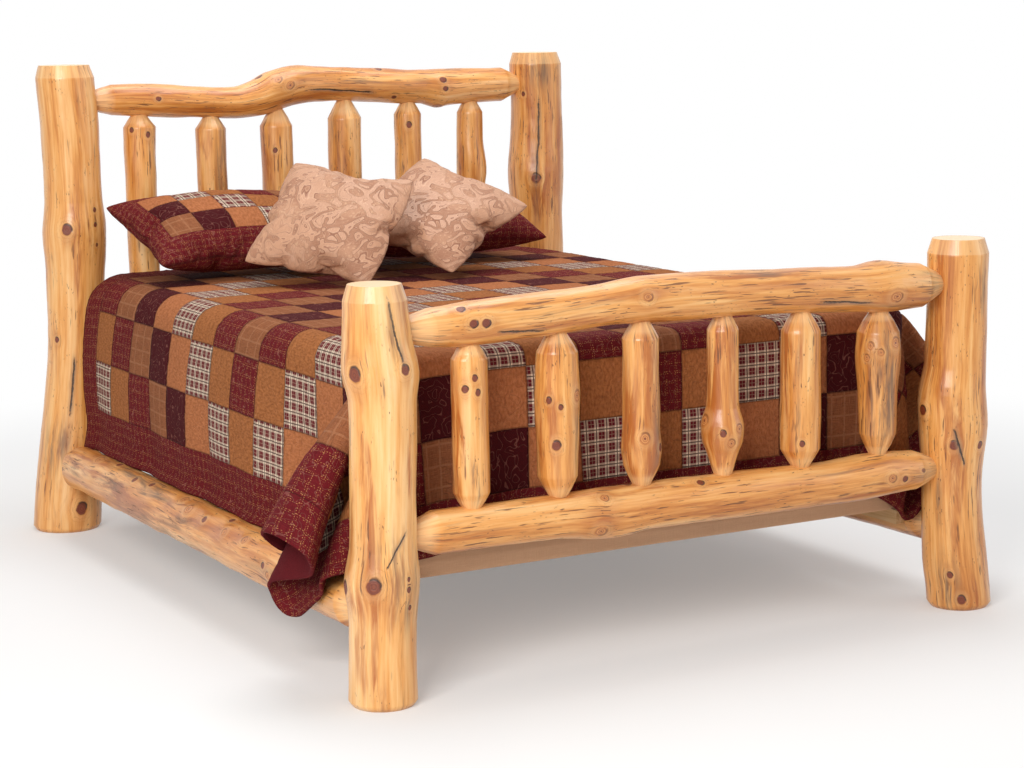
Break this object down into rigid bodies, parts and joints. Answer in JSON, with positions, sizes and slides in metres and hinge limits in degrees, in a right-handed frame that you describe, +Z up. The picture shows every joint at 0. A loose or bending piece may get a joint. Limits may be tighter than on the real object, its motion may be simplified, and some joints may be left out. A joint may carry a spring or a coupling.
{
  "type": "log bed",
  "caption": "Rustic queen-size bed of peeled pine logs with slats, box spring, mattress, patchwork quilt, shams and throw pillows.",
  "frame": {"origin": "on the floor under the middle of the bed", "axes": "+X to the bed's right seen from its foot, +Y from the foot to the headboard, +Z up"},
  "size_m": [1.9824, 2.43, 1.438],
  "materials": {
    "peeled_log": "clear satin varnish over peeled pine",
    "sawn_board": "planed, bare",
    "steel": "zinc plated",
    "box_spring_cloth": "plain cover",
    "mattress_ticking": "white ticking",
    "patchwork": "quilted cotton patchwork",
    "damask": "woven damask with a slight sheen"
  },
  "bodies": {
    "bed_frame": {"head_post_left": "peeled_log", "head_post_right": "peeled_log", "foot_post_left": "peeled_log", "foot_post_right": "peeled_log", "head_top_rail": "peeled_log", "head_lower_rail": "peeled_log", "foot_top_rail": "peeled_log", "foot_lower_rail": "peeled_log", "head_spindle_1": "peeled_log", "head_spindle_2": "peeled_log", "head_spindle_3": "peeled_log", "head_spindle_4": "peeled_log", "head_spindle_5": "peeled_log", "head_spindle_6": "peeled_log", "foot_spindle_1": "peeled_log", "foot_spindle_2": "peeled_log", "foot_spindle_3": "peeled_log", "foot_spindle_4": "peeled_log", "foot_spindle_5": "peeled_log", "foot_spindle_6": "peeled_log", "side_rail_left": "peeled_log", "side_rail_right": "peeled_log", "cleat_left": "sawn_board", "cleat_right": "sawn_board", "slat_1": "sawn_board", "slat_2": "sawn_board", "slat_3": "sawn_board", "slat_4": "sawn_board", "slat_5": "sawn_board", "rail_lag_screws": "steel", "rail_washers": "steel", "cleat_screws": "steel", "slat_screws": "steel"},
    "box_spring": {"box_spring": "box_spring_cloth"},
    "mattress": {"mattress": "mattress_ticking", "quilt": "patchwork"},
    "sham_left": {"sham_left": "patchwork"},
    "sham_right": {"sham_right": "patchwork"},
    "throw_pillow_left": {"throw_pillow_left": "damask"},
    "throw_pillow_right": {"throw_pillow_right": "damask"}
  },
  "joints": [
    {"name": "box_spring_lift", "type": "slide", "parent": "bed_frame", "child": "box_spring", "axis": [0, 0, 1], "range_m": [0, 0.4]},
    {"name": "mattress_lift", "type": "slide", "parent": "box_spring", "child": "mattress", "axis": [0, 0, 1], "range_m": [0, 0.4]},
    {"name": "sham_left_lift", "type": "slide", "parent": "mattress", "child": "sham_left", "axis": [0, 0, 1], "range_m": [0, 0.4]},
    {"name": "sham_right_lift", "type": "slide", "parent": "mattress", "child": "sham_right", "axis": [0, 0, 1], "range_m": [0, 0.4]},
    {"name": "throw_pillow_left_lift", "type": "slide", "parent": "sham_left", "child": "throw_pillow_left", "axis": [0, 0, 1], "range_m": [0, 0.4]},
    {"name": "throw_pillow_right_lift", "type": "slide", "parent": "sham_right", "child": "throw_pillow_right", "axis": [0, 0, 1], "range_m": [0, 0.4]}
  ]
}
